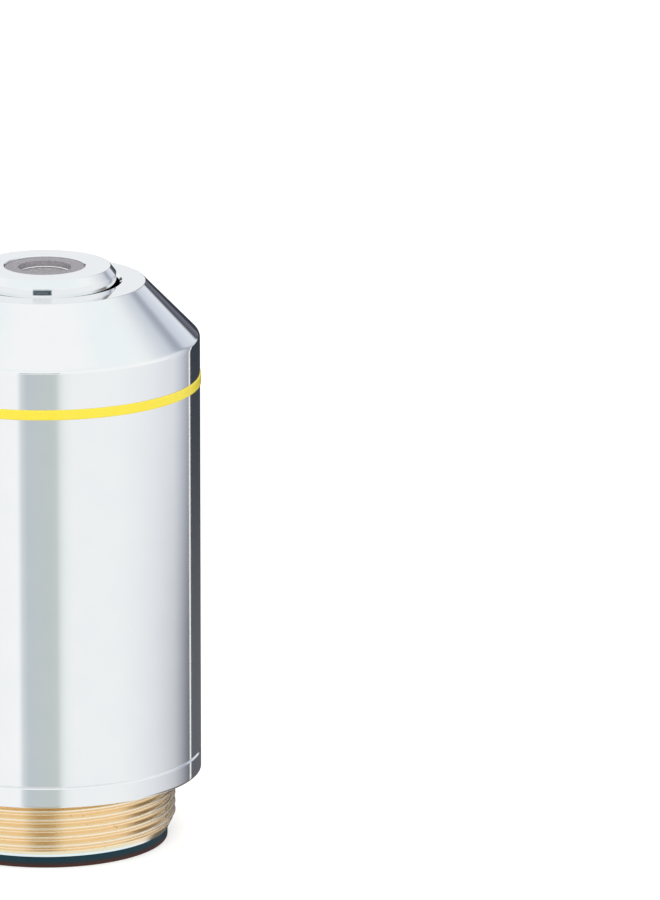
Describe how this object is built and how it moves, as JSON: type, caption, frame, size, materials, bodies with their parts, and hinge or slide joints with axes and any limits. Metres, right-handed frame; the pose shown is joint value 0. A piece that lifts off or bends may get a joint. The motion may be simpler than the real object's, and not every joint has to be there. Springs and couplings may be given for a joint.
{
  "type": "microscope objective",
  "caption": "Low power microscope objective: bright plated sleeve with a tapered front and yellow band, brass mounting thread, black rear ring, lens train inside.",
  "frame": {"origin": "centre of the face of the rear end ring that the objective stands on", "axes": "+Z along the optical axis towards the nose, -Y towards the side that faces the camera, +X to its right"},
  "size_m": [0.0246, 0.0246, 0.0465],
  "materials": {
    "bright_plate": "bright nickel chrome plate on turned brass, polished",
    "thread_brass": "bare turned brass, machined thread; the flange is bright plated",
    "blackened_brass": "turned brass, chemically blackened, matt",
    "black_anodised": "turned aluminium, black anodised, satin",
    "satin_grey": "turned aluminium, satin grey",
    "band_enamel": "yellow enamel fill, glossy",
    "optical_glass": "polished and coated crown glass",
    "dense_glass": "polished and coated flint glass"
  },
  "bodies": {
    "root": {"mounting_base": "thread_brass", "rear_end_ring": "black_anodised", "outer_sleeve": "bright_plate", "colour_band": "band_enamel", "lens_barrel": "blackened_brass", "parfocal_lock_ring": "thread_brass", "nose_cell": "bright_plate", "front_lens": "optical_glass", "front_lens_ring": "satin_grey", "second_cell": "blackened_brass", "second_lens": "optical_glass", "second_spacer": "blackened_brass", "third_cell": "blackened_brass", "third_crown": "optical_glass", "third_flint": "dense_glass", "aperture_stop": "black_anodised", "third_spacer": "blackened_brass", "fourth_cell": "blackened_brass", "fourth_flint": "dense_glass", "fourth_crown": "optical_glass", "fourth_spacer": "blackened_brass", "rear_cell": "blackened_brass", "rear_lens": "dense_glass", "rear_lens_ring": "black_anodised", "barrel_retaining_ring": "blackened_brass"}
  },
  "joints": []
}
